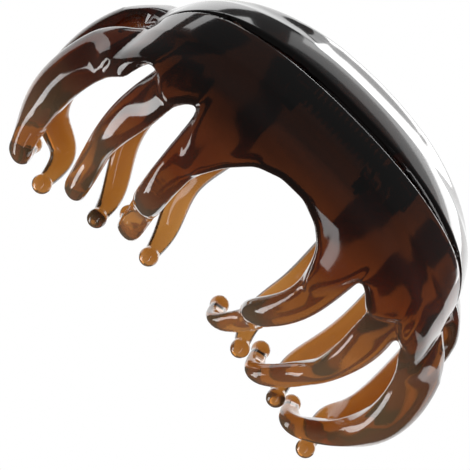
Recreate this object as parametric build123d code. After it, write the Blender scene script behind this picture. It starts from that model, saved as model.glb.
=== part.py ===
"""Octopus hair clip: two equal six-legged jaws on a pin, closed by a covered torsion spring.

The front jaw lies on the -Y side and the back jaw is the same moulding turned half a turn about Z.
X runs along the hinge, Z is up, and the clip stands on the tips of its outer legs. All in millimetres.
"""
from math import cos, radians, sin, tan
import os

from build123d import *

os.makedirs("parts", exist_ok=True)

# Jaw
HEIGHT = 62.5            # table to the top of the seam
RIDGE_HALF = 40.8        # half length of the seam curve
RIDGE_FALL = 19.2        # fall of the seam curve at its ends
RIDGE_POWER = 2.3        # superellipse power of the seam curve
CREST_DEPTH = 12.5       # centre plane to the crest, at the middle
CREST_PAST = 0.8         # crest's oval ends this far past the seam's
CREST_POWER = 3.5
CREST_DROP = 2.6         # crest below the seam, at the middle
CREST_DROP_END = 1.0     # extra drop of the crest at the roof's ends
DEPTH = 29.0             # centre plane to the outside of the palm, at the middle
PALM_PAST = 6.4          # palm's oval ends this far past the seam's
DEPTH_POWER = 2.0
DEPTH_TUCK = 0.99        # depth left at the foot of the palm wall
BEND_FALL = 3.5          # seam to the bend between roof and palm wall
SIDE_FALL = 8.6          # seam to where the palm is deepest
FOOT_FALL = 20.0         # seam to the foot of the palm wall
SCOOP = 0.8              # depth of the thumb scoop beside the seam
WALL = 2.3               # roof wall
RIM = 3.0                # wall at the palm's lower edge

# Hinge and spring
PIN_DROP = 5.8           # seam top to pin axis
PIN_R = 0.9
PIN_PLAY = 0.08          # radial play of the pin in its lugs
HEAD_R = 1.7             # pin heads
HEAD = 0.8
OPENING = 25.0           # degrees that the back jaw swings
SEAM_GAP = 0.3           # seam gap where no room to swing is needed
LUG_R = 2.2
LUG_WIDTH = 3.0
LUG_X = (15.0, -11.4)    # front jaw's lugs; the half turn puts the back jaw's between and beside them
WEB_REACH = 8.0          # lug web, from the pin axis out under its own roof
WEB_LOW = -0.8           # web's lower and upper edge, off the pin axis
WEB_HIGH = 1.6
WIRE_R = 0.45
COIL_R = 1.6             # mean radius of the coil
TURNS = 12
ARM_X = 8.6              # front arm at +ARM_X, back arm at -ARM_X
TAIL_STEP = 1.2          # coil's far end to the ring that carries the back arm
TAIL_TURN = 300.0        # degrees of that ring
ARM_PLAY = 0.15          # play of an arm in its eye
ARM_LENGTH = 12.0        # spring arm, from the coil out under the roof
ARM_SLOPE = 14.0         # degrees that the arm falls
EYE_AT = 9.6             # moulded eye that holds the arm, from the pin axis
EYE = (3.0, 2.0, 3.0)    # its size along X, Y and Z
EYE_RISE = 0.5           # eye's middle above the arm
BALL_R = 2.05            # ball on a leg's tip

CREST_HALF = RIDGE_HALF + CREST_PAST
DEPTH_HALF = RIDGE_HALF + PALM_PAST
PIN_Z = HEIGHT - PIN_DROP
LUG_OUT = LUG_X[0] + LUG_WIDTH / 2
COIL_LENGTH = 2 * ARM_X - TAIL_STEP

# Lower edge of the palm along X: arch between legs 3 and 4, notches between the other legs
# columns: share of the seam's half length, fall below the seam there
PALM_EDGE = [
    (-0.982, 8.0), (-0.900, 8.4), (-0.769, 6.4), (-0.672, 9.9), (-0.533, 6.0), (-0.430, 15.5),
    (-0.360, 18.0), (-0.318, 16.0), (-0.285, 12.4), (-0.193, 7.8), (-0.080, 6.3), (0.051, 6.2),
    (0.160, 7.6), (0.237, 10.0), (0.267, 12.6), (0.300, 16.0), (0.361, 17.5), (0.455, 7.1),
    (0.606, 11.5), (0.747, 6.4), (0.899, 8.4), (0.982, 8.0),
]
# Roof outline at a station. Depth is crest share * crest + step share * (palm - crest) + shift;
# height is seam - scoop share * SCOOP - drop share * crest drop - fall.
# columns: crest share, step share, shift, scoop share, drop share, fall
ROOF_OUTSIDE = [
    (0.00, 0.00, 0.0, 0.0, 0.00, 0.0),
    (0.40, 0.00, 0.0, 0.5, 0.45, 0.0),
    (0.78, 0.00, 0.0, 1.0, 0.80, 0.0),
    (1.00, 0.00, 0.0, 0.0, 1.00, 0.0),
    (1.00, 0.38, 0.0, 0.0, 1.00, 0.12 * BEND_FALL),
    (1.00, 0.83, 0.0, 0.0, 0.50, BEND_FALL),
]
ROOF_INSIDE = [
    (1.00, 0.72, -0.7 * WALL, 0.0, 0.50, BEND_FALL + 0.7 * WALL),
    (1.00, 0.20, 0.0, 0.0, 1.00, 1.1 * WALL),
    (0.78, 0.00, 0.0, 1.0, 0.80, WALL),
    (0.40, 0.00, 0.0, 0.5, 0.45, 0.85 * WALL),
    (0.00, 0.00, 0.0, 0.0, 0.00, 0.8 * WALL),
]
# Legs: x of the middle line at six levels from root to tip, as shares of the seam's half length
# columns: root, high, middle, low, toe, tip, family
LEGS = [
    (-0.951, -1.029, -1.108, -1.074, -1.037, -1.029, "outer"),
    (-0.650, -0.728, -0.755, -0.735, -0.706, -0.733, "inner"),
    (-0.425, -0.426, -0.409, -0.400, -0.382, -0.431, "centre"),
    (0.361, 0.375, 0.304, 0.333, 0.250, 0.213, "centre"),
    (0.606, 0.730, 0.748, 0.699, 0.571, 0.529, "inner"),
    (0.951, 1.037, 1.142, 1.044, 0.904, 0.843, "outer"),
]
# Share of the palm wall's depth at which a leg leaves it; the outer legs carry on the roof's ends
ROOT_DEPTH = {"outer": 0.56, "inner": 1.0, "centre": 1.0}
# Depth as a share of DEPTH and height as a share of HEIGHT below the root, per family; the tips
# cross the centre plane, and the outer ones stand on the table
LEVELS = {
    "outer": [(0.178, 0.581), (0.190, 0.365), (0.146, 0.158), (0.176, 0.089), (-0.128, BALL_R / HEIGHT)],
    "inner": [(0.610, 0.666), (0.490, 0.469), (0.266, 0.267), (0.155, 0.120), (-0.138, 0.096)],
    "centre": [(0.855, 0.627), (0.669, 0.448), (0.314, 0.296), (0.186, 0.162), (-0.097, 0.120)],
}
# Half width and half thickness at the six levels
LEG_HALF = {
    "outer": [(7.4, 1.1), (4.8, 2.1), (4.7, 3.3), (3.8, 2.7), (3.2, 2.2), (1.7, 1.4)],
    "inner": [(4.1, 0.9), (4.3, 1.9), (3.4, 2.1), (2.9, 2.3), (2.8, 2.0), (1.7, 1.4)],
    "centre": [(5.0, 0.9), (3.5, 2.1), (3.3, 2.2), (3.1, 1.7), (2.8, 1.5), (1.7, 1.4)],
}
# Leg outline: share of half width, share of half thickness (outside positive); narrower inside
OUTLINE = [(-1.0, -0.2), (-0.82, 0.6), (-0.4, 1.0), (0.4, 1.0), (0.82, 0.6), (1.0, -0.2),
           (0.62, -1.0), (-0.62, -1.0)]
LEG_STEPS = 2               # loft sections from one level to the next
HUB = (0.8, 0.207, 0.45)    # point that a leg's outside faces away from: share of x, DEPTH, HEIGHT


def between(a, b, share):
    """Value at a share of the way from a to b."""
    return a + (b - a) * share


def oval(x, half, power):
    """Share of a superellipse's breadth that is left at x."""
    return max(0.0, 1 - abs(x / half) ** power) ** (1 / power)


def ridge(x):
    """Height of the seam at x."""
    return HEIGHT - RIDGE_FALL * (1 - oval(x, RIDGE_HALF, RIDGE_POWER))


def seam_half(x):
    """Half of the seam gap: the edges above the pin axis need room to swing toward each other."""
    lift = max(0.0, ridge(x) - PIN_Z)
    return SEAM_GAP / 2 + lift * tan(radians(OPENING / 2))


def roof_points(x, table):
    """Depth and height of one side of the roof at x, from a table of shares."""
    crest = CREST_DEPTH * oval(x, CREST_HALF, CREST_POWER)
    step = DEPTH * oval(x, DEPTH_HALF, DEPTH_POWER) - crest
    drop = CREST_DROP + CREST_DROP_END * (x / RIDGE_HALF) ** 2
    top = ridge(x)
    points = []
    for crest_share, step_share, shift, scoop_share, drop_share, fall in table:
        depth = max(seam_half(x), crest_share * crest + step_share * step + shift)
        points.append((depth, top - scoop_share * SCOOP - drop_share * drop - fall))
    return points


def palm_depth(x, z):
    """Depth of the palm's outside at height z below the bend."""
    deep = DEPTH * oval(x, DEPTH_HALF, DEPTH_POWER)
    top = ridge(x)
    knots = [roof_points(x, ROOF_OUTSIDE)[-1], (deep, top - SIDE_FALL),
             (DEPTH_TUCK * deep, top - FOOT_FALL)]
    for (d0, z0), (d1, z1) in zip(knots, knots[1:]):
        if z >= z1:
            return d0 + (d1 - d0) * (z0 - z) / (z0 - z1)
    return knots[-1][0]


def roof_face(share, fall):
    """Closed outline of roof and palm wall at one station, on the -Y side."""
    x = share * RIDGE_HALF
    edge = ridge(x) - fall
    outside = roof_points(x, ROOF_OUTSIDE)
    inside = roof_points(x, ROOF_INSIDE)
    bend = outside[-1][1]
    middle = (bend + edge) / 2
    inside[0] = (inside[0][0], max(inside[0][1], (bend + middle) / 2))
    outside += [(palm_depth(x, middle), middle), (palm_depth(x, edge), edge)]
    outside += [(palm_depth(x, edge) - RIM, edge), (palm_depth(x, middle) - RIM, middle)]
    return make_face(Polyline(*[Vector(x, -y, z) for y, z in outside + inside], close=True))


def leg(row):
    """One leg lofted through its levels on the -Y side, with the ball on its tip."""
    *shares, family = row
    xs = [share * RIDGE_HALF for share in shares]
    (y_out, z_out), (y_in, z_in) = roof_points(xs[0], ROOF_OUTSIDE)[-1], roof_points(xs[0], ROOF_INSIDE)[0]
    levels = [(ROOT_DEPTH[family] * (y_out + y_in) / 2, (z_out + z_in) / 2)]
    levels += [(deep * DEPTH, high * HEIGHT) for deep, high in LEVELS[family]]
    points = [Vector(x, -y, z) for x, (y, z) in zip(xs, levels)]
    line = Spline(*points)
    knots = [line.param_at_point(p) for p in points]
    sizes = LEG_HALF[family]
    faces = []
    for step in range(LEG_STEPS * (len(points) - 1) + 1):
        i = min(step // LEG_STEPS, len(points) - 2)
        share = step / LEG_STEPS - i
        at = between(knots[i], knots[i + 1], share)
        half, thick = (between(a, b, share) for a, b in zip(sizes[i], sizes[i + 1]))
        p, along = line @ at, (line % at).normalized()
        out = p - Vector(HUB[0] * p.X, HUB[1] * DEPTH, HUB[2] * HEIGHT)
        out = (out - along * out.dot(along)).normalized()
        plane = Plane(origin=p, x_dir=along.cross(out), z_dir=along)
        corners = [plane.from_local_coords((u * half, v * thick, 0)) for u, v in OUTLINE]
        faces.append(make_face(Polyline(*corners, close=True)))
    return loft(faces, ruled=True) + Pos(*points[-1]) * Sphere(BALL_R)


def along_x(x, radius, length, y=0.0, z=PIN_Z):
    """Cylinder along the hinge, centred at x."""
    return Pos(x, y, z) * Rot(0, 90, 0) * Cylinder(radius, length)


def lug(x):
    """Hinge lug: a ring on the pin axis with a web out under its own roof."""
    middle = PIN_Z + (WEB_LOW + WEB_HIGH) / 2
    web = Pos(x, -WEB_REACH / 2, middle) * Box(LUG_WIDTH, WEB_REACH, WEB_HIGH - WEB_LOW)
    return along_x(x, LUG_R, LUG_WIDTH) + web


def arm_point(reach):
    """Depth and height of a spring arm on the -Y side, at a reach from where it leaves the coil."""
    a = radians(ARM_SLOPE)
    return COIL_R * sin(a) + reach * cos(a), PIN_Z + COIL_R * cos(a) - reach * sin(a)


def arm_rod(x, radius, near, far):
    """Rod along the spring arm's line on the -Y side, between two reaches."""
    (y0, z0), (y1, z1) = arm_point(near), arm_point(far)
    start, end = Vector(x, -y0, z0), Vector(x, -y1, z1)
    plane = Plane(origin=start, z_dir=(end - start).normalized())
    return extrude(plane * Circle(radius), (end - start).length)


def eye(x):
    """Moulded eye under the roof that holds the arm."""
    y, z = arm_point(EYE_AT)
    return Pos(x, -y, z + EYE_RISE) * Box(*EYE)


def make_jaw():
    """The jaw moulding on the -Y side."""
    body = loft([roof_face(share, fall) for share, fall in PALM_EDGE], ruled=True)
    for row in LEGS:
        body += leg(row)
    for x in LUG_X:
        body += lug(x)
    body += eye(ARM_X)
    body -= arm_rod(ARM_X, WIRE_R + ARM_PLAY, EYE_AT - EYE[1], EYE_AT + EYE[1])
    return body - along_x(0, PIN_R + PIN_PLAY, 2 * RIDGE_HALF)


def make_pin():
    """Steel pin with a flat head at each end."""
    shaft = along_x(0, PIN_R, 2 * LUG_OUT + 2 * PIN_PLAY)
    for side in (-1, 1):
        shaft += along_x(side * (LUG_OUT + PIN_PLAY + HEAD / 2), HEAD_R, HEAD)
    return shaft


def make_spring():
    """Coil round the pin, running on into the front arm."""
    helix = Helix(COIL_LENGTH / TURNS, COIL_LENGTH, COIL_R)
    helix = Pos(ARM_X - COIL_LENGTH, 0, PIN_Z) * Rot(180, 0, 0) * Rot(0, 90, 0) * helix
    coil = sweep(Plane(origin=helix @ 0, z_dir=helix % 0) * Circle(WIRE_R), path=helix, is_frenet=True)
    return coil + arm_rod(ARM_X, WIRE_R, -WIRE_R, ARM_LENGTH)


def make_spring_arm():
    """Last ring of the spring with the back arm; it rides with the back jaw."""
    face_on = Plane(origin=(ARM_X, 0, PIN_Z), x_dir=(0, 1, 0), z_dir=(1, 0, 0))
    ring = CenterArc((0, 0), COIL_R, 90 + ARM_SLOPE - TAIL_TURN, TAIL_TURN)
    straight = Line(ring @ 1, ring @ 1 + (ring % 1) * ARM_LENGTH)
    path = face_on * Wire([ring, straight])
    wire = Plane(origin=path @ 0, z_dir=path % 0) * Circle(WIRE_R)
    return HALF_TURN * sweep(wire, path=path)


HALF_TURN = Rot(0, 0, 180)

if __name__ == "__main__":
    jaw = make_jaw()
    parts = {
        "front_jaw": jaw,
        "back_jaw": HALF_TURN * jaw,
        "hinge_pin": make_pin(),
        "spring": make_spring(),
        "spring_arm": make_spring_arm(),
    }
    for name, solid in parts.items():
        box = solid.bounding_box()
        print(name, solid.is_valid, len(solid.solids()), round(solid.volume, 1), box.min, box.max)
        export_step(solid, f"parts/{name}.step")
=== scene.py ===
# %% [markdown]
# # Octopus hair clip
# A hair clip of two equal moulded jaws, each with six curved legs that pass between the legs of the
# other. The jaws turn on a steel pin under the seam, and a coil spring round the pin closes them.
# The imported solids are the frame: every piece made here lies where a solid says, in metres.

# %% Load the frame
from math import cos, radians, sin, tan

import bpy
import numpy as np
from mathutils import Matrix, Vector


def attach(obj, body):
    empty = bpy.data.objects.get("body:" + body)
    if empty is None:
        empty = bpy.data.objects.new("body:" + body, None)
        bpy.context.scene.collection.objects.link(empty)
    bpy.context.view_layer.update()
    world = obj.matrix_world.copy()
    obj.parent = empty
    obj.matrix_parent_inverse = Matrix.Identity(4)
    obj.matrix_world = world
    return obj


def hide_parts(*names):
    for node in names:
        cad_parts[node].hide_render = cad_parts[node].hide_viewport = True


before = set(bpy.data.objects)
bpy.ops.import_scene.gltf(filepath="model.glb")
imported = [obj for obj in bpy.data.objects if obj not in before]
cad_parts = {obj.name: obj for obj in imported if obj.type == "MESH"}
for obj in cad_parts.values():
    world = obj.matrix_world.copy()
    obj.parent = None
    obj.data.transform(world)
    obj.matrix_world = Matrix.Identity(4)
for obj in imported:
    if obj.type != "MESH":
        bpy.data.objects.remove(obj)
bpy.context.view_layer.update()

MM = 0.001

# %% [markdown]
# ## Sizes of a jaw
# The jaw is injection moulded, so its surface is one smooth skin: the roof flows into the palm and the
# palm into the legs. The sizes are in millimetres, for the front jaw. Most are the solids' own. The
# roof's slope and the roots of the outer legs were matched to the photograph instead. X runs along the
# hinge, Z is up, and depth is the distance from the plane between the jaws.

# %% Sizes of roof and palm
HEIGHT = 62.5                       # from the table to the middle of the seam
RIDGE_HALF, RIDGE_FALL, RIDGE_POWER = 40.8, 19.2, 2.3
CREST_DEPTH, CREST_HALF, CREST_POWER = 12.5, 41.6, 3.5      # line where the roof starts to bend down
CREST_DROP, CREST_DROP_END = 2.6, 1.0
DEPTH, DEPTH_HALF = 29.0, 47.2      # the palm, seen from above
BEND_FALL = 3.5                     # below the seam, where the bend ends
SIDE_IN, SIDE_FALL = 0.3, 9.46      # three points further down the palm: inward of its depth, and below
FOOT_SHARE, FOOT_FALL = 0.99, 20.0  # the seam
SKIRT_IN, SKIRT_FALL = 0.5, 38.0
WALL, RIM = 2.3, 3.0                # thickness of the roof, and of the palm at its lower edge
RIM_FROM, RIM_OVER = 70, 40         # degrees down the bend where the wall starts to thicken, and over which
PIN_Z = HEIGHT - 5.8
OPENING = 25.0                      # degrees that the jaws open


def oval(x, half, power):
    """Share of a superellipse's breadth that is left at x."""
    return np.clip(1 - np.abs(x / half) ** power, 0, None) ** (1 / power)


def ridge(x):
    """Height of the seam at x."""
    return HEIGHT - RIDGE_FALL * (1 - oval(x, RIDGE_HALF, RIDGE_POWER))


print("seam at", HEIGHT, "mm in the middle and", ridge(RIDGE_HALF).round(1), "mm at its ends")

# %% [markdown]
# ## Curves through a few points
# Moulds are cut along smooth curves. Blender's own curve objects could give them, but here the numbers
# are needed before there is any mesh. A natural cubic spline takes a few lines: it passes through a few
# chosen points and bends as little as it can between them.

# %% Natural cubic spline
def spline(knots, values, at):
    """Natural cubic spline through values at knots, read at the places given."""
    knots, values = np.asarray(knots, float), np.asarray(values, float)
    flat = values.reshape(len(knots), -1)
    h = np.diff(knots)
    a = np.eye(len(knots))
    b = np.zeros_like(flat)
    for i in range(1, len(knots) - 1):
        a[i, i - 1:i + 2] = h[i - 1], 2 * (h[i - 1] + h[i]), h[i]
        b[i] = 6 * ((flat[i + 1] - flat[i]) / h[i] - (flat[i] - flat[i - 1]) / h[i - 1])
    bend = np.linalg.solve(a, b)
    at = np.asarray(at, float)
    i = np.clip(np.searchsorted(knots, at) - 1, 0, len(h) - 1)
    s, t = (at - knots[i])[:, None], (knots[i + 1] - at)[:, None]
    w = h[i][:, None]
    out = (bend[i] * t ** 3 + bend[i + 1] * s ** 3) / (6 * w)
    out += (flat[i] / w - bend[i] * w / 6) * t + (flat[i + 1] / w - bend[i + 1] * w / 6) * s
    return out.reshape((len(at),) + values.shape[1:])


# %% [markdown]
# ## A shape as a field
# The legs grow out of the palm with soft junctions. They could be modelled face by face, or joined by
# Booleans and bevelled, which is slow work at six curved roots. Here the jaw is a field instead: a number
# at every point of space, negative in the plastic and positive outside, near to the distance in
# millimetres. Two shapes are joined by the lower number and cut by the higher one, and a rounded lower or
# higher number gives the fillet that a mould has there. The skin is where the field is nought.

# %% Rounded joins and cuts
def join(a, b, fillet):
    """Union of two fields with a fillet."""
    h = np.clip(fillet - np.abs(a - b), 0, None)
    return np.minimum(a, b) - h * h / (4 * fillet)


def cut(a, b, rounding):
    """Common part of two fields with a rounded edge."""
    return -join(-a, -b, rounding)


# %% [markdown]
# ## Roof and palm
# Seen along the hinge, the roof starts at the seam, falls gently to a line where it begins to bend, and
# bends down into the palm. It could be a loft through a row of profiles, as the solid is, but gloss shows
# each station of a loft. Here the profile is a table of distances from a line inside the clip, by angle
# and by X. It is read through a B-spline surface, which has no such marks.

# %% Profile of the roof
PROFILE = [  # share of the way to the bend's line, share of the way on to the palm, drop share, fall
    (0.00, 0.00, 0.00, 0.0),
    (0.40, 0.00, 0.14, 0.0),
    (0.80, 0.00, 0.36, 0.0),
    (1.00, 0.00, 0.50, 0.0),
    (1.00, 0.38, 0.62, 0.28 * BEND_FALL),
    (1.00, 0.83, 0.50, BEND_FALL),
]
PAST_SEAM = (-6.0, 0.4)  # depth and rise of a point beyond the seam, so that the curve starts before it


def profile(x):
    """Depth and height of the outside at x, from beyond the seam down to the foot of the palm."""
    crest = CREST_DEPTH * oval(x, CREST_HALF, CREST_POWER)
    deep = DEPTH * oval(x, DEPTH_HALF, 2.0)
    top, drop = ridge(x), CREST_DROP + CREST_DROP_END * (x / RIDGE_HALF) ** 2
    roof = [(c * crest + s * (deep - crest), top - d * drop - fall) for c, s, d, fall in PROFILE]
    palm = [(deep - SIDE_IN, top - SIDE_FALL), (FOOT_SHARE * deep, top - FOOT_FALL),
            (FOOT_SHARE * deep - SKIRT_IN, top - SKIRT_FALL)]
    return np.array([(PAST_SEAM[0], top + PAST_SEAM[1])] + roof + palm)


# %% Table of the profile
HUB_DEPTH, HUB_Z = 4.0, 35.0
X_STEP, TURN_STEP = 1.0, 2.0
X_TABLE = np.arange(-40.0, 40.1, X_STEP)
TURN_TABLE = np.arange(-40.0, 141.0, TURN_STEP)


def reach_row(x):
    """Distance from the hub line to the outside at x, for each angle of the table."""
    points = profile(x)
    run = np.concatenate([[0], np.cumsum(np.hypot(*np.diff(points, axis=0).T))])
    slope_part, bend_part = slice(0, 5), slice(4, None)
    line = np.concatenate([spline(run[part], points[part], np.linspace(*run[part][[0, -1]], 300))
                           for part in (slope_part, bend_part)])
    dx, dz = line[:, 0] - HUB_DEPTH, line[:, 1] - HUB_Z
    turn = np.degrees(np.arctan2(dz, dx))
    order = np.argsort(turn)
    return np.interp(TURN_TABLE, turn[order], np.hypot(dx, dz)[order])


REACH = np.array([reach_row(x) for x in X_TABLE])
by_x, by_turn = np.gradient(REACH, X_STEP, radians(TURN_STEP))
SLANT = np.sqrt(1 + by_x ** 2 + (by_turn / REACH) ** 2)
print("roof table", REACH.shape, "reach", REACH.min().round(1), "to", REACH.max().round(1), "mm")

# %% [markdown]
# Straight lines between the table's numbers would show as facets in the gloss. A cubic B-spline weighs the
# sixteen numbers round a place instead, so that slope and bend both run on without a break.


# %% Smooth reading of the table
def b_weights(t):
    """The four weights of a cubic B-spline at share t between two columns."""
    return ((1 - t) ** 3 / 6, (3 * t ** 3 - 6 * t ** 2 + 4) / 6,
            (-3 * t ** 3 + 3 * t ** 2 + 3 * t + 1) / 6, t ** 3 / 6)


def read_table(x, turn):
    """Reach and slant of the outside at x and angle."""
    u = np.clip((x - X_TABLE[0]) / X_STEP, 0, len(X_TABLE) - 1.001)
    v = np.clip((turn - TURN_TABLE[0]) / TURN_STEP, 0, len(TURN_TABLE) - 1.001)
    i, j = u.astype(int), v.astype(int)
    wu, wv = b_weights(u - i), b_weights(v - j)
    reach, slant = 0.0, 0.0
    for a in range(4):
        ia = np.clip(i + a - 1, 0, len(X_TABLE) - 1)
        for b in range(4):
            jb = np.clip(j + b - 1, 0, len(TURN_TABLE) - 1)
            w = wu[a] * wv[b]
            reach = reach + w * REACH[ia, jb]
            slant = slant + w * SLANT[ia, jb]
    return reach, slant


# %% [markdown]
# The lower edge of the palm has a wide arch in the middle, for the hair, and narrow notches between the
# legs on each side. It could be cut by a Boolean with drawn shapes, but a curve of height by X is shorter
# and cuts the field in one step.

# %% Lower edge of the palm
PALM_EDGE = [  # share of the seam's half length, and fall below the seam there
    (-1.05, 4.5), (-0.982, 5.5), (-0.900, 8.0), (-0.769, 5.9), (-0.672, 9.9), (-0.533, 5.8),
    (-0.430, 15.5), (-0.360, 18.0), (-0.318, 15.6), (-0.285, 12.2), (-0.193, 7.8), (-0.080, 6.3),
    (0.051, 6.2), (0.160, 7.6), (0.237, 10.0), (0.267, 12.4), (0.300, 16.0), (0.361, 17.5),
    (0.455, 6.9), (0.606, 11.5), (0.747, 6.5), (0.825, 10.5), (0.899, 9.0), (0.982, 5.5), (1.05, 4.5),
]
edge_x = np.arange(-42.0, 42.1, 0.5)
edge_at = np.array([share * RIDGE_HALF for share, fall in PALM_EDGE])
edge_z = ridge(edge_x) - np.interp(edge_x, edge_at, [fall for share, fall in PALM_EDGE])
for _ in range(4):  # rounds the corners between the points
    edge_z[1:-1] = (edge_z[:-2] + 2 * edge_z[1:-1] + edge_z[2:]) / 4
edge_slant = np.sqrt(1 + np.gradient(edge_z, edge_x) ** 2)
print("palm edge from", edge_z.min().round(1), "to", edge_z.max().round(1), "mm above the table")

# %% [markdown]
# The outside, the wall's inside, the seam and the lower edge each give a field, and cuts put them
# together, as a cutter would finish a rough block. The seam is a V that opens above the pin, because the
# two roofs need that room to turn.

# %% Field of roof and palm
END_X, END_ROUND = 40.7, 5.0
SEAM_GAP, SEAM_ROUND, EDGE_ROUND = 0.15, 1.5, 1.7
SHOULDER_X, SHOULDER_Z, SHOULDER_TILT = 40.4, 50.0, 0.6  # tilted end that the outer legs grow out of


def roof_field(p):
    """Fields of roof and palm, of the full form within their outside, and of the palm's lower edge."""
    x, depth, z = p[:, 0], -p[:, 1], p[:, 2]
    dx, dz = depth - HUB_DEPTH, z - HUB_Z
    turn = np.degrees(np.arctan2(dz, dx))
    turn = np.where(turn < -90, turn + 360, turn)
    reach, slant = read_table(x, turn)
    outside = (np.hypot(dx, dz) - reach) / slant
    wall = WALL + (RIM - WALL) * np.clip((RIM_FROM - turn) / RIM_OVER, 0, 1)
    shell = np.maximum(cut(outside, np.abs(x) - END_X, END_ROUND), -outside - wall)
    seam = SEAM_GAP + np.clip(z - PIN_Z, 0, None) * tan(radians(OPENING / 2)) - depth
    edge = (np.interp(x, edge_x, edge_z) - z) / np.interp(x, edge_x, edge_slant)
    shell = cut(shell, seam, SEAM_ROUND)
    end = (np.abs(x) - SHOULDER_X - SHOULDER_TILT * (SHOULDER_Z - z)) / np.hypot(1, SHOULDER_TILT)
    return cut(shell, edge, EDGE_ROUND), cut(outside, end, END_ROUND), edge


# %% [markdown]
# ## Legs
# A leg is a tapered bar with a crowned outside and a narrower flat inside, bent along one curve from the
# palm down and across to the other jaw, and it ends in a small ball so that it doesn't scratch. It could
# be a bevelled curve, but that would only be pushed into the palm. As a field it can flow out of it: a
# rounded eight-sided section travels along the curve, and near the root its outer face turns into the
# palm's own outside.

# %% Legs' middle lines and sections
LEGS = [  # X as a share of the seam's half length at root, high, middle, low, toe and tip, and family
    (-0.951, -1.029, -1.108, -1.074, -1.037, -1.029, "outer"),
    (-0.650, -0.728, -0.755, -0.735, -0.706, -0.733, "inner"),
    (-0.425, -0.426, -0.409, -0.400, -0.382, -0.431, "centre"),
    (0.361, 0.375, 0.304, 0.333, 0.250, 0.213, "centre"),
    (0.606, 0.730, 0.748, 0.699, 0.571, 0.529, "inner"),
    (0.951, 1.037, 1.142, 1.044, 0.904, 0.843, "outer"),
]
BALL_R = 2.05
ROOT_DEPTH = {"outer": 0.88, "inner": 1.0, "centre": 1.0}
LEVELS = {  # below the root: share of DEPTH, and of HEIGHT above the table
    "outer": [(0.330, 0.624), (0.240, 0.379), (0.146, 0.158), (0.176, 0.089), (-0.128, BALL_R / HEIGHT)],
    "inner": [(0.610, 0.666), (0.490, 0.469), (0.266, 0.267), (0.155, 0.120), (-0.138, 0.096)],
    "centre": [(0.855, 0.627), (0.669, 0.448), (0.314, 0.296), (0.186, 0.162), (-0.097, 0.120)],
}
LEG_HALF = {  # half width and half thickness at the six levels
    "outer": [(6.5, 1.5), (5.6, 2.2), (4.7, 3.3), (3.8, 2.7), (3.2, 2.2), (1.7, 1.4)],
    "inner": [(4.1, 0.9), (4.3, 1.9), (3.4, 2.1), (2.9, 2.3), (2.8, 2.0), (1.7, 1.4)],
    "centre": [(5.0, 0.9), (3.5, 2.1), (3.3, 2.2), (3.1, 1.7), (2.8, 1.5), (1.7, 1.4)],
}
BLEND = {"outer": 10.0, "inner": 15.0, "centre": 15.0}  # length over which a leg leaves the palm's face
OUTLINE = [(-1.0, -0.2), (-0.82, 0.6), (-0.4, 1.0), (0.4, 1.0), (0.82, 0.6), (1.0, -0.2),
           (0.62, -1.0), (-0.62, -1.0)]
HUB = (0.8, 6.0, 28.0)  # what a leg's outside faces away from: share of X, Y and Z
SAMPLES = 56

# %% Points along each leg
BEND_ROW = len(PROFILE)  # the last row of PROFILE, as the point beyond the seam comes first
INSIDE_SHARE, INSIDE_WALLS, ROOT_WALLS = 0.87, 0.7, 0.35


def root(x):
    """Depth and height of the middle of the palm's wall at its bend."""
    depth, z = profile(x)[BEND_ROW]
    inside_depth = INSIDE_SHARE * depth - INSIDE_WALLS * WALL
    return (depth + inside_depth) / 2, z - ROOT_WALLS * WALL


def leg_samples(row):
    """Middle points, directions, side and outward axes and half sizes along one leg."""
    *shares, family = row
    xs = [share * RIDGE_HALF for share in shares]
    depth, z = root(xs[0])
    levels = [(ROOT_DEPTH[family] * depth, z)] + [(d * DEPTH, h * HEIGHT) for d, h in LEVELS[family]]
    points = np.array([(x, -d, z) for x, (d, z) in zip(xs, levels)])
    run = np.concatenate([[0], np.cumsum(np.linalg.norm(np.diff(points, axis=0), axis=1))])
    at = np.linspace(0, run[-1], SAMPLES)
    middle, half = spline(run, points, at), spline(run, LEG_HALF[family], at)
    along = np.gradient(middle, at, axis=0)
    along /= np.linalg.norm(along, axis=1)[:, None]
    out = middle - np.stack([HUB[0] * middle[:, 0], np.full(SAMPLES, HUB[1]), np.full(SAMPLES, HUB[2])], 1)
    out -= along * (out * along).sum(1)[:, None]
    out /= np.linalg.norm(out, axis=1)[:, None]
    return middle, along, np.cross(along, out), out, half, BLEND[family]


LEG_DATA = [leg_samples(row) for row in LEGS]
print("legs", len(LEG_DATA), "lowest tip", min(d[0][-1, 2] for d in LEG_DATA).round(2), "mm")

# %% [markdown]
# The distance to a leg could be read from a mesh of it, but its section is simple enough to work out. Each
# of the eight sides gives a distance, and a soft highest number of them rounds the corners. A point is
# put beside the nearest stretch of the middle line first: across it, outward from it and along it.

# %% Field of the section
FAR = 9.0
SECTION_SOFT = 0.3  # how softly the section's eight sides turn into each other


def section_field(u, v, half):
    """Field of the rounded section with half width and half thickness."""
    total = 0.0
    for (ax, ay), (bx, by) in zip(OUTLINE, OUTLINE[1:] + OUTLINE[:1]):
        px, py = ax * half[:, 0], ay * half[:, 1]
        ex, ey = bx * half[:, 0] - px, by * half[:, 1] - py
        side = ((u - px) * -ey + (v - py) * ex) / np.hypot(ex, ey)
        total = total + np.exp(np.clip(side, -6, FAR) / SECTION_SOFT)
    return SECTION_SOFT * np.log(total)


# %% Field of one leg
BALL_JOIN = 0.35


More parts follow.
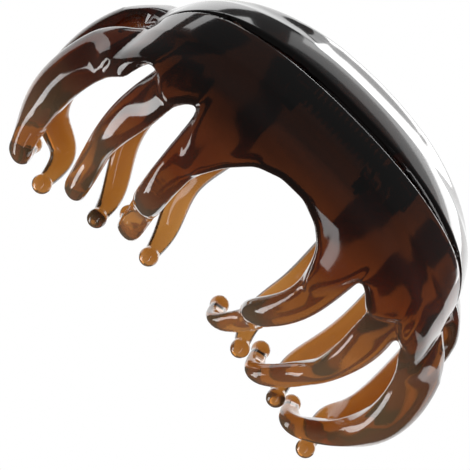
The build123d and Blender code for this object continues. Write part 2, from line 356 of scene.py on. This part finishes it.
def field_beside_leg(q, data, outside):
    """Field of a leg at points near it: the bar, its round cap at the root and the ball on its tip."""
    middle, along, across, out, half, blend = data
    # Nearest stretch i of the middle line, and the share s along it.
    j = ((q[:, None, :] - middle[None]) ** 2).sum(2).argmin(1)
    ahead = ((q - middle[j]) * along[j]).sum(1)
    i = np.clip(np.where(ahead >= 0, j, j - 1), 0, SAMPLES - 2)
    a = ((q - middle[i]) * along[i]).sum(1)
    b = ((q - middle[i + 1]) * along[i + 1]).sum(1)
    s = np.clip(a / np.where(np.abs(a - b) < 1e-9, 1.0, a - b), 0, 1)[:, None]
    # Place across the leg and outward from it, and the section's size there.
    offset = q - (middle[i] * (1 - s) + middle[i + 1] * s)
    u = (offset * (across[i] * (1 - s) + across[i + 1] * s)).sum(1)
    v = (offset * (out[i] * (1 - s) + out[i + 1] * s)).sum(1)
    size = half[i] * (1 - s) + half[i + 1] * s
    # Near the root the outward place is counted from the palm's outside instead.
    share = np.clip((i + s[:, 0]) * np.linalg.norm(middle[1] - middle[0]) / blend, 0, 1)
    share = share * share * (3 - 2 * share)
    v = share * v + (1 - share) * (size[:, 1] + outside)
    # Round ends at the root and the tip, and the ball.
    u = np.hypot(u, np.where(i == 0, np.clip(-a, 0, None), 0))
    side = section_field(u, v, size)
    past = np.where(i == SAMPLES - 2, np.clip(b, 0, None), 0)
    bar = np.where(past > 0, np.maximum(np.hypot(np.clip(side, 0, None), past), past), side)
    ball = np.linalg.norm(q - middle[-1], axis=1) - BALL_R
    return np.minimum(join(bar, ball, BALL_JOIN), FAR)


def leg_field(p, data, outside):
    """Field of a leg at any points, given the field of the palm's outside there."""
    middle = data[0]
    low, high = middle.min(0) - FAR - 2, middle.max(0) + FAR + 2
    near = np.all((p > low) & (p < high), axis=1)
    field = np.full(len(p), FAR)
    if near.any():
        field[near] = field_beside_leg(p[near], data, outside[near])
    return field


# %% [markdown]
# ## Hinge under the roof
# Two lugs with a bore carry the pin, each on a web that runs out under its own roof and is joined to it
# from above. A small eye holds the arm of the spring. They could be separate pieces, but they are moulded
# in one with the jaw, so they are part of its field. Nothing of them shows from above, so they are plain.

# %% Lugs and eye
PIN_R, PIN_PLAY, LUG_R, LUG_WIDTH = 0.9, 0.08, 2.2, 3.0
LUG_X, WEB_REACH, WEB_LOW, WEB_HIGH = (15.0, -11.4), 8.0, -0.8, 1.6
HANGER_START, HANGER_HIGH = 1.6, 4.2  # block that hangs a web from the roof
COIL_R, WIRE_R, ARM_X, ARM_SLOPE, ARM_PLAY = 1.6, 0.45, 8.6, 14.0, 0.15
EYE_AT, EYE, EYE_RISE = 9.6, (3.0, 2.0, 5.5), 1.75
LUG_ROUND, WEB_JOIN = 0.3, 0.4


def box_field(p, centre, size):
    """Field of a box."""
    q = np.abs(p - np.array(centre)) - np.array(size) / 2
    return np.linalg.norm(np.clip(q, 0, None), axis=1) + np.minimum(q.max(1), 0)


def arm_point(reach):
    """Depth and height of the spring's arm at a reach from where it leaves the coil."""
    a = radians(ARM_SLOPE)
    return COIL_R * sin(a) + reach * cos(a), PIN_Z + COIL_R * cos(a) - reach * sin(a)


def hinge_field(p):
    """Field of the two lugs and the eye."""
    field = np.full(len(p), FAR)
    from_pin = np.hypot(p[:, 1], p[:, 2] - PIN_Z)
    for x in LUG_X:
        ring = cut(from_pin - LUG_R, np.abs(p[:, 0] - x) - LUG_WIDTH / 2, LUG_ROUND)
        middle = (x, -WEB_REACH / 2, PIN_Z + (WEB_LOW + WEB_HIGH) / 2)
        web = box_field(p, middle, (LUG_WIDTH, WEB_REACH, WEB_HIGH - WEB_LOW))
        middle = (x, -(WEB_REACH + HANGER_START) / 2, PIN_Z + HANGER_HIGH / 2)
        hanger = box_field(p, middle, (LUG_WIDTH, WEB_REACH - HANGER_START, HANGER_HIGH))
        field = np.minimum(field, join(ring, np.minimum(web, hanger), WEB_JOIN))
    depth, z = arm_point(EYE_AT)
    eye = box_field(p, (ARM_X, -depth, z + EYE_RISE), EYE)
    return np.minimum(field, eye)


def holes_field(p):
    """Field of the bore for the pin and the hole in the eye."""
    bore = np.hypot(p[:, 1], p[:, 2] - PIN_Z) - PIN_R - PIN_PLAY
    depth, z = arm_point(EYE_AT)
    along = np.array([0, -cos(radians(ARM_SLOPE)), -sin(radians(ARM_SLOPE))])
    offset = p - np.array([ARM_X, -depth, z])
    offset = offset - (offset @ along)[:, None] * along
    hole = np.linalg.norm(offset, axis=1) - WIRE_R - ARM_PLAY
    return np.minimum(bore, np.where(np.abs(p[:, 0] - ARM_X) < 2, hole, FAR))


# %% [markdown]
# The whole jaw is the roof joined with the legs and the hinge. The fillets would swell through the palm's
# polished face, so the sum is trimmed by the roof's outside once more. The trim lets go below the palm's
# edge, most of all at the ends, where the outer legs stand out past the palm.

# %% Field of the whole jaw
JUNCTION = 2.2                      # fillet between palm and leg
FREE_MIDDLE, END_FROM, END_OVER = 0.1, 32.0, 6.0  # how far the trim lets go, and where along X it grows
LEGS_FREE_Z, LEGS_SPREAD = 32.0, 2.0              # height below which the trim leaves the legs alone
TRIM_ROUND, HINGE_COVER, HINGE_JOIN = 0.3, 1.0, 0.8


def jaw_field(p):
    """Field of the front jaw, in millimetres."""
    field, outside, edge = roof_field(p)
    for data in LEG_DATA:
        field = join(field, leg_field(p, data, outside), JUNCTION)
    free = FREE_MIDDLE + np.clip((np.abs(p[:, 0]) - END_FROM) / END_OVER, 0, 1)
    trim = outside - free * np.clip(edge, 0, None) - LEGS_SPREAD * np.clip(LEGS_FREE_Z - p[:, 2], 0, None)
    field = cut(field, trim, TRIM_ROUND)
    field = join(field, np.maximum(hinge_field(p), outside + HINGE_COVER), HINGE_JOIN)
    return np.maximum(field, -holes_field(p))


# %% [markdown]
# ## From field to skin
# A skin can be drawn from a field by marching cubes or by surface nets, and nets give more even faces.
# The field is read on a coarse grid first, and on a fine one only near the skin. Then each fine cell that
# the skin crosses gets one vertex, and each grid edge that it crosses gets one four-sided face. Moving
# the vertices along the field's slope puts them on the skin.

# %% Field on a fine grid
GRID, COARSE = 0.45, 3  # step in millimetres, and fine steps in a coarse one
NEAR = 1.15             # coarse steps from the skin within which the fine grid is worked out
COARSE_PARTS, FINE_PARTS = 12, 40  # the points are done in parts, to save memory


def fine_field(low, high):
    """Field on a grid of step GRID from low to high, exact near the skin."""
    count = [int(np.ceil((h - l) / (GRID * COARSE))) + 1 for l, h in zip(low, high)]
    axes = [l + GRID * COARSE * np.arange(n) for l, n in zip(low, count)]
    points = np.stack(np.meshgrid(*axes, indexing="ij"), axis=-1).reshape(-1, 3)
    values = np.concatenate([jaw_field(part) for part in np.array_split(points, COARSE_PARTS)])
    values = values.reshape(count)
    for axis in range(3):
        rows = np.moveaxis(values, axis, 0)
        at = np.arange((len(rows) - 1) * COARSE + 1) / COARSE
        i = np.minimum(at.astype(int), len(rows) - 2)
        share = (at - i).reshape((-1,) + (1,) * (rows.ndim - 1))
        values = np.moveaxis(rows[i] * (1 - share) + rows[i + 1] * share, 0, axis)
    near = np.argwhere(np.abs(values) < NEAR * GRID * COARSE)
    points = np.array(low) + near * GRID
    exact = np.concatenate([jaw_field(part) for part in np.array_split(points, FINE_PARTS)])
    values[tuple(near.T)] = exact
    print("grid", values.shape, "exact at", len(near), "points")
    return values


# %% Faces across the crossed edges
def skin_cells(values):
    """Vertices, in grid steps, and four-sided faces of the surface where values pass nought."""
    inside = values < 0
    shape = np.array(values.shape) - 1
    total, number, faces = np.zeros((shape.prod(), 3)), np.zeros(shape.prod()), []
    for axis in range(3):
        step = np.eye(3, dtype=int)[axis]
        first = tuple(slice(0, -1) if k == axis else slice(None) for k in range(3))
        second = tuple(slice(1, None) if k == axis else slice(None) for k in range(3))
        at = np.argwhere(inside[first] != inside[second])
        a, b = values[tuple(at.T)], values[tuple((at + step).T)]
        crossing = at + (a / (a - b))[:, None] * step
        side, other = np.eye(3, dtype=int)[(axis + 1) % 3], np.eye(3, dtype=int)[(axis + 2) % 3]
        corners = []
        for shift in (0 * side, side, side + other, other):
            cell = np.ravel_multi_index(tuple((at - shift).T), tuple(shape))
            number += np.bincount(cell, minlength=len(number))
            for k in range(3):
                total[:, k] += np.bincount(cell, weights=crossing[:, k], minlength=len(number))
            corners.append(cell)
        quads = np.stack(corners, axis=1)
        faces.append(np.where(inside[tuple(at.T)][:, None], quads, quads[:, ::-1]))
    used = number > 0
    index = np.cumsum(used) - 1
    return total[used] / number[used][:, None], index[np.concatenate(faces)]


def slope(p):
    """Gradient of the field by small steps."""
    h = 0.06
    return np.stack([(jaw_field(p + h * e) - jaw_field(p - h * e)) / (2 * h) for e in np.eye(3)], axis=1)


# %% [markdown]
# The vertices start at the average of the crossings round their cell, which is a little off the skin. A
# Smooth modifier would hide that, and round off the edges too. Newton's rule is better: each vertex goes
# along the slope by the field over the slope, and two rounds bring nearly all of them onto the skin.

# %% Skin of the front jaw
LOW, HIGH = (-51.5, -30.0, -1.5), (52.5, 8.0, 64.5)
SLOPE_LEAST, MOVE_MOST = 0.3, 0.5 * GRID
vertices, faces = skin_cells(fine_field(LOW, HIGH))
vertices = np.array(LOW) + vertices * GRID
for _ in range(2):
    grad = slope(vertices)
    size = np.clip((grad ** 2).sum(1), SLOPE_LEAST, None)
    move = -(jaw_field(vertices) / size)[:, None] * grad
    vertices += np.clip(move, -MOVE_MOST, MOVE_MOST)
normals = slope(vertices)
normals /= np.linalg.norm(normals, axis=1)[:, None] + 1e-12
print("skin", len(vertices), "vertices", len(faces), "faces")
print("vertices off the skin by", np.abs(jaw_field(vertices)).mean().round(4), "mm on average")
print("box in mm", vertices.min(0).round(2), vertices.max(0).round(2))

# %% [markdown]
# ## Jaws as meshes
# Both jaws come out of one mould, and the back one is turned half a turn about Z. An instance or a turned
# object could show that, but a piece of this model sits at the origin unturned. So the back jaw's mesh is
# the same points with X and Y reversed. The normals are the field's own slopes, so the gloss shows no
# facets.


# %% Objects and meshes
def add_object(name, data):
    """Object of a mesh, curve, light or camera, linked to the scene."""
    piece = bpy.data.objects.new(name, data)
    bpy.context.scene.collection.objects.link(piece)
    return piece


def add_mesh(name, points, polygons):
    """Object with a mesh of the given points, in metres, and faces."""
    mesh = bpy.data.meshes.new(name)
    mesh.from_pydata(points, [], polygons)
    return add_object(name, mesh)


# %% Make the two jaws
half_turn = np.array([-1, -1, 1])
skins = []
for name, way in (("front_jaw_skin", 1), ("back_jaw_skin", half_turn)):
    skin = add_mesh(name, (vertices * way * MM).tolist(), faces.tolist())
    skin.data.shade_smooth()
    skin.data.normals_split_custom_set_from_vertices((normals * way).tolist())
    skin.data.update()
    skins.append(skin)
    print(name, len(skin.data.polygons), "faces")

# %% [markdown]
# ## Materials
# Colours are written as sRGB hex values, as a designer notes them, and turned to the linear numbers that
# Blender wants. Nodes could be placed by hand in the editor, but a script is read in order. So one small
# function adds a node together with its settings and its links.


# %% Colour and node helpers
def colour(hex_code):
    """Linear colour of an sRGB hex value."""
    parts = [int(hex_code[i:i + 2], 16) / 255 for i in (1, 3, 5)]
    return [v / 12.92 if v <= 0.04045 else ((v + 0.055) / 1.055) ** 2.4 for v in parts] + [1.0]


def add_node(tree, kind, settings=None):
    """Add a node. A setting is a property, an input's value, or another node's output that feeds an input."""
    node = tree.nodes.new(kind)
    for name, value in (settings or {}).items():
        if isinstance(value, bpy.types.NodeSocket):
            tree.links.new(value, node.inputs[name])
        elif isinstance(name, int) or name in node.inputs:
            node.inputs[name].default_value = value
        else:
            setattr(node, name, value)
    return node


def new_material(name):
    """Material without nodes, and its node tree."""
    material = bpy.data.materials.new(name)
    material.use_nodes = True
    material.node_tree.nodes.clear()
    return material, material.node_tree


# %% [markdown]
# The jaws are glossy brown translucent acrylic, moulded in a polished mould. Light that goes through it
# is absorbed on the way, blue first, so a leg glows amber. The roof and the top of the palm look nearly
# black, more than absorption alone gives here, because the dark inside of the clip lies behind them. So
# that shade is painted into the colour: a ramp by height paints the top darker. It could be painted as a
# picture, but a ramp on the height stays sharp at any size.

# %% Painted shade in the acrylic's colour
acrylic, tree = new_material("polished_brown_acrylic")
place = add_node(tree, "ShaderNodeTexCoord")
# Painted shade: the colour is painted darker along this way, from 28 mm to 63 mm above the table.
SHADE_WAY = (-0.2, 0.2, 1.0)  # mostly up, a little to the left and to the back
SHADE_LOW, SHADE_HIGH = 28 * MM, 63 * MM
SHADE_STREAK_MM, SHADE_STREAK_STRETCH, SHADE_STREAK_REACH = 9, (0.3, 1.0, 1.0), 12 * MM  # streaks in the painted shade, long along the clip
height = add_node(tree, "ShaderNodeVectorMath", {
    "operation": "DOT_PRODUCT", 0: place.outputs["Object"], 1: SHADE_WAY})
stretch = add_node(tree, "ShaderNodeMapping", {"Vector": place.outputs["Object"], "Scale": SHADE_STREAK_STRETCH})
# Painted shade in streaks: a noise moves the ramp's height up and down, so the dark edge runs in streaks.
shade_streaks = add_node(tree, "ShaderNodeTexNoise", {
    "Vector": stretch.outputs["Vector"], "Scale": 1 / (SHADE_STREAK_MM * MM), "Detail": 2.0})
wavy = add_node(tree, "ShaderNodeMath", {
    "operation": "MULTIPLY_ADD", 0: shade_streaks.outputs["Fac"], 1: SHADE_STREAK_REACH, 2: height.outputs["Value"]})
level = add_node(tree, "ShaderNodeMapRange", {
    "Value": wavy.outputs["Value"], "From Min": SHADE_LOW, "From Max": SHADE_HIGH})
# Painted shade: the ramp runs from the acrylic's own light amber low down to nearly black at the top.
painted_shade_ramp = add_node(tree, "ShaderNodeValToRGB", {"Fac": level.outputs["Result"]})
painted_shade_ramp.color_ramp.elements[0].color = colour("#f2c48c")
painted_shade_ramp.color_ramp.elements[1].color = colour("#2c1710")
painted_shade_ramp.color_ramp.elements.new(0.55).color = colour("#90522f")

# %% Surface and body of the acrylic
WAVES_MM = 6  # the polish leaves a faint waviness, which breaks up the highlights a little
ACRYLIC_IOR = 1.49
waves = add_node(tree, "ShaderNodeTexNoise", {
    "Vector": place.outputs["Object"], "Scale": 1 / (WAVES_MM * MM), "Detail": 2.0, "Roughness": 0.4})
bump = add_node(tree, "ShaderNodeBump", {
    "Height": waves.outputs["Fac"], "Strength": 0.08, "Distance": 0.15 * MM})
haze = add_node(tree, "ShaderNodeMapRange", {"Value": waves.outputs["Fac"], "To Min": 0.06, "To Max": 0.13})
# The base colour carries the painted shade of the ramp.
body = add_node(tree, "ShaderNodeBsdfPrincipled", {
    "Base Color": painted_shade_ramp.outputs["Color"], "Roughness": haze.outputs["Result"],
    "Normal": bump.outputs["Normal"], "IOR": ACRYLIC_IOR, "Transmission Weight": 0.88,
    "Coat Weight": 1.0, "Coat Roughness": 0.05, "Coat IOR": ACRYLIC_IOR})
depth_tint = add_node(tree, "ShaderNodeVolumeAbsorption", {"Color": (0.70, 0.47, 0.0, 1.0), "Density": 600.0})
add_node(tree, "ShaderNodeOutputMaterial", {
    "Surface": body.outputs["BSDF"], "Volume": depth_tint.outputs["Volume"]})
print(acrylic.name, len(tree.nodes), "nodes")

# %% [markdown]
# Pin and spring are bright steel wire. Drawing it through a die leaves marks far finer than a pixel, which
# could be left to the roughness alone. Here they are drawn as a soft grain of 0.4 mm, coarse enough to show.

# %% Drawn steel
GRAIN_MM = 0.4
steel, tree = new_material("drawn_spring_steel")
place = add_node(tree, "ShaderNodeTexCoord")
grain = add_node(tree, "ShaderNodeTexNoise", {
    "Vector": place.outputs["Object"], "Scale": 1 / (GRAIN_MM * MM), "Detail": 3.0})
rough = add_node(tree, "ShaderNodeMapRange", {"Value": grain.outputs["Fac"], "To Min": 0.2, "To Max": 0.4})
bump = add_node(tree, "ShaderNodeBump", {
    "Height": grain.outputs["Fac"], "Strength": 0.1, "Distance": 0.02 * MM})
metal = add_node(tree, "ShaderNodeBsdfPrincipled", {
    "Base Color": colour("#b9b9bb"), "Metallic": 1.0, "Roughness": rough.outputs["Result"],
    "Normal": bump.outputs["Normal"]})
add_node(tree, "ShaderNodeOutputMaterial", {"Surface": metal.outputs["BSDF"]})
print(steel.name, len(tree.nodes), "nodes")

# %% [markdown]
# ## Spring wire
# A torsion spring is wound from one round wire on a mandrel, and its end runs straight on as the arm. It
# could be a Screw modifier on a circle, but that gives no straight arm. Here the wire's middle line is
# worked out in points, and a Geometry Nodes group sweeps the round section along it. The last ring and
# its arm turn with the back jaw, so they are a piece of their own.

# %% Middle lines of the wire
TURNS, COIL_LENGTH, ARM_LENGTH, TAIL_TURN = 12, 16.0, 12.0, 300.0
TURN_POINTS, ARM_POINTS = 28, 7


def wire_line(first_turn, last_turn, x_start, x_end):
    """Points of the coil between two angles, in degrees from the top, and of the arm after it."""
    turn = np.radians(np.linspace(first_turn, last_turn, int((last_turn - first_turn) / 360 * TURN_POINTS)))
    ring = np.stack([np.linspace(x_start, x_end, len(turn)), -COIL_R * np.sin(turn),
                     PIN_Z + COIL_R * np.cos(turn)], axis=1)
    depth, z = arm_point(np.linspace(0, ARM_LENGTH, ARM_POINTS + 1)[1:])
    return np.concatenate([ring, np.stack([np.full(ARM_POINTS, x_end), -depth, z], axis=1)])


coil_line = wire_line(0, 360 * TURNS + ARM_SLOPE, ARM_X - COIL_LENGTH, ARM_X)
tail_line = wire_line(ARM_SLOPE - TAIL_TURN, ARM_SLOPE, ARM_X, ARM_X) * half_turn
print("wire points", len(coil_line), "and", len(tail_line))

# %% Geometry Nodes group that sweeps a round wire
winder = bpy.data.node_groups.new("wire_along_path", "GeometryNodeTree")
for name, side, kind in (("Path", "INPUT", "Geometry"), ("Wire Radius", "INPUT", "Float"),
                         ("Steel", "INPUT", "Material"), ("Wire", "OUTPUT", "Geometry")):
    winder.interface.new_socket(name, in_out=side, socket_type="NodeSocket" + kind)
given = add_node(winder, "NodeGroupInput")
section = add_node(winder, "GeometryNodeCurvePrimitiveCircle", {
    "Resolution": 20, "Radius": given.outputs["Wire Radius"]})
tube = add_node(winder, "GeometryNodeCurveToMesh", {
    "Curve": given.outputs["Path"], "Profile Curve": section.outputs["Curve"], "Fill Caps": True})
smooth = add_node(winder, "GeometryNodeSetShadeSmooth", {"Geometry": tube.outputs["Mesh"]})
whole = add_node(winder, "GeometryNodeRealizeInstances", {"Geometry": smooth.outputs["Geometry"]})
dressed = add_node(winder, "GeometryNodeSetMaterial", {
    "Geometry": whole.outputs["Geometry"], "Material": given.outputs["Steel"]})
add_node(winder, "NodeGroupOutput", {"Wire": dressed.outputs["Geometry"]})


# %% Wind the spring
def path_object(name, line):
    """Curve object through points in millimetres."""
    curve = bpy.data.curves.new(name, "CURVE")
    curve.dimensions = "3D"
    path = curve.splines.new("POLY")
    path.points.add(len(line) - 1)
    for point, spot_mm in zip(path.points, line):
        point.co = (*(spot_mm * MM), 1.0)
    return add_object(name, curve)


def wind(name, line):
    """Wire along a line of points in millimetres, made by the group and kept as a plain mesh."""
    path = path_object(name + "_line", line)
    modifier = path.modifiers.new("wire", "NODES")
    modifier.node_group = winder
    values = {"Wire Radius": WIRE_R * MM, "Steel": steel}
    for socket in winder.interface.items_tree:
        if socket.name in values:
            modifier[socket.identifier] = values[socket.name]
    bpy.context.view_layer.update()
    graph = bpy.context.evaluated_depsgraph_get()
    mesh = bpy.data.meshes.new_from_object(path.evaluated_get(graph))
    path.modifiers.remove(modifier)
    bpy.data.objects.remove(path)
    print(name, len(mesh.vertices), "vertices", len(mesh.polygons), "faces")
    return add_object(name, mesh)


coil_wire = wind("coil_wire", coil_line)
tail_wire = wind("tail_wire", tail_line)

# %% [markdown]
# ## Dress the pieces
# Each new piece replaces its solid and rides on the same body, so it moves with the hinge as the solid does.
# The pin is a plain turned bar, so the solid's own mesh will do.

# %% Wires, skins and pin
for wire, node, ride_on in ((coil_wire, "spring", "front"), (tail_wire, "spring_arm", "back")):
    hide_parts(node)
    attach(wire, ride_on)
for skin, node, ride_on in zip(skins, ("front_jaw", "back_jaw"), ("front", "back")):
    skin.data.materials.append(acrylic)
    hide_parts(node)
    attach(skin, ride_on)
for material_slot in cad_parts["hinge_pin"].material_slots:
    material_slot.material = steel

# %% [markdown]
# ## Set
# The photograph is a product picture on white, with no shadow at all. It could be lit from so many sides
# that a white floor burns out, but then the gloss would be grey all over. A floor that only glows is
# white, shows no shadow and doesn't light the clip from above. Its front half is left out of reflections,
# where it would lie as a grey glare on the near palm and legs. It casts no shadow either, so that a lamp
# below it reaches the clip. A ring of the same paper, which only the camera sees, keeps low views white.

# %% Floor
FLOOR = 3.0  # metres from the middle to each side
paper, tree = new_material("lit_white_paper")
glow = add_node(tree, "ShaderNodeEmission", {"Color": (1, 1, 1, 1), "Strength": 1.0})
add_node(tree, "ShaderNodeOutputMaterial", {"Surface": glow.outputs["Emission"]})
for name, near_y, far_y in (("floor_front", -FLOOR, 0), ("floor_behind", 0, FLOOR)):
    corners = [(-FLOOR, near_y, 0), (FLOOR, near_y, 0), (FLOOR, far_y, 0), (-FLOOR, far_y, 0)]
    floor = add_mesh(name, corners, [(0, 1, 2, 3)])
    floor.data.materials.append(paper)
    floor.visible_glossy = name == "floor_behind"
    floor.visible_shadow = False

# %% Ring of paper all round
RING_R, RING_SIDES = 0.98 * FLOOR, 36
turns = np.radians(np.arange(0, 360, 360 // RING_SIDES))
rim = np.stack([RING_R * np.cos(turns), RING_R * np.sin(turns), np.zeros(RING_SIDES)], axis=1)
sides = [(i, (i + 1) % RING_SIDES, (i + 1) % RING_SIDES + RING_SIDES, i + RING_SIDES)
         for i in range(RING_SIDES)]
backdrop = add_mesh("paper_backdrop", np.concatenate([rim, rim + (0, 0, FLOOR)]).tolist(), sides)
backdrop.data.materials.append(paper)
backdrop.visible_glossy = backdrop.visible_shadow = False
backdrop.visible_diffuse = backdrop.visible_transmission = False

# %% World
FILL = 0.06  # the faint light that a white room gives from all sides
world = bpy.data.worlds.new("studio")
bpy.context.scene.world = world
world.use_nodes = True
world.node_tree.nodes["Background"].inputs["Color"].default_value = (1, 1, 1, 1)
world.node_tree.nodes["Background"].inputs["Strength"].default_value = FILL

# %% [markdown]
# ## Light
# In a gloss every lamp is a shape that can be seen, so the lamps are soft boxes of the sizes that the
# reflections show. Three low boxes behind the clip, one above the other and each dimmer than the one
# below, give the far roof its broad white glare that fades. One to the left of them whitens the roof's
# left end. One below the floor at the front left draws the streaks along the legs, and a tall narrow one
# at the front right draws the streak right of the arch.

# %% Soft boxes
LOOK_AT = Vector((0, 0, 0.03))
SOFT_BOXES = [  # degrees from +Y, degrees up, metres away, width and height in metres, brightness
    ("back_box", 16, 1, 0.9, (0.69, 0.22), 1.9),
    ("back_box_middle", 14, 7, 0.92, (0.72, 0.16), 0.6),
    ("back_box_top", 12, 13, 0.94, (0.74, 0.16), 0.3),
    ("back_box_left", -30, 13, 0.9, (0.40, 0.14), 1.0),
    ("low_left_box", -125, -50, 0.5, (0.15, 0.36), 3.5),
    ("right_strip", 156, 20, 0.6, (0.10, 0.9), 2.0),
]
for name, azimuth, elevation, away, size, brightness in SOFT_BOXES:
    a, e = radians(azimuth), radians(elevation)
    light = bpy.data.lights.new(name, "AREA")
    light.shape, light.size, light.size_y = "RECTANGLE", size[0], size[1]
    light.energy = brightness * np.pi * size[0] * size[1]
    lamp = add_object(name, light)
    lamp.location = LOOK_AT + away * Vector((sin(a) * cos(e), cos(a) * cos(e), sin(e)))
    lamp.rotation_euler = (LOOK_AT - lamp.location).to_track_quat("-Z", "Y").to_euler()
print("soft boxes", len(SOFT_BOXES))

# %% [markdown]
# ## Camera
# The picture fits a camera about 30 cm away, 32 degrees above the table and rolled by 47 degrees. A
# Track To constraint could aim it, but not with that roll, so its matrix is made from three directions.
# One millimetre at that distance covers 5.1 pixels, which gives the lens, and a small shift puts the
# middle of the clip where the photograph has it.

# %% Camera of the photograph
AZIMUTH, ELEVATION, ROLL, AWAY, PX_PER_MM = -3.53, 31.76, 47.2, 299.9, 5.108
CENTRE_PX, FRAME_PX = (261.0, 210.1), 470
CENTRE_Z = 32.6
az, el, roll = radians(AZIMUTH), radians(ELEVATION), radians(ROLL)
back = Vector((sin(az) * cos(el), -cos(az) * cos(el), sin(el)))
right = Vector((cos(az), sin(az), 0))
up = back.cross(right)
cam_right, cam_up = cos(roll) * right + sin(roll) * up, -sin(roll) * right + cos(roll) * up
lens = bpy.data.cameras.new("photo_camera")
lens.sensor_width = 36.0
lens.lens = PX_PER_MM * AWAY * lens.sensor_width / FRAME_PX
lens.shift_x = (FRAME_PX / 2 - CENTRE_PX[0]) / FRAME_PX
lens.shift_y = (CENTRE_PX[1] - FRAME_PX / 2) / FRAME_PX
lens.clip_start = 0.01
camera = add_object("photo_camera", lens)
spot = Vector((0, 0, CENTRE_Z * MM)) + AWAY * MM * back
camera.matrix_world = Matrix.Translation(spot) @ Matrix((cam_right, cam_up, back)).transposed().to_4x4()
bpy.context.scene.camera = camera
bpy.context.scene.view_settings.view_transform = "Standard"
print("lens", round(lens.lens, 1), "mm")
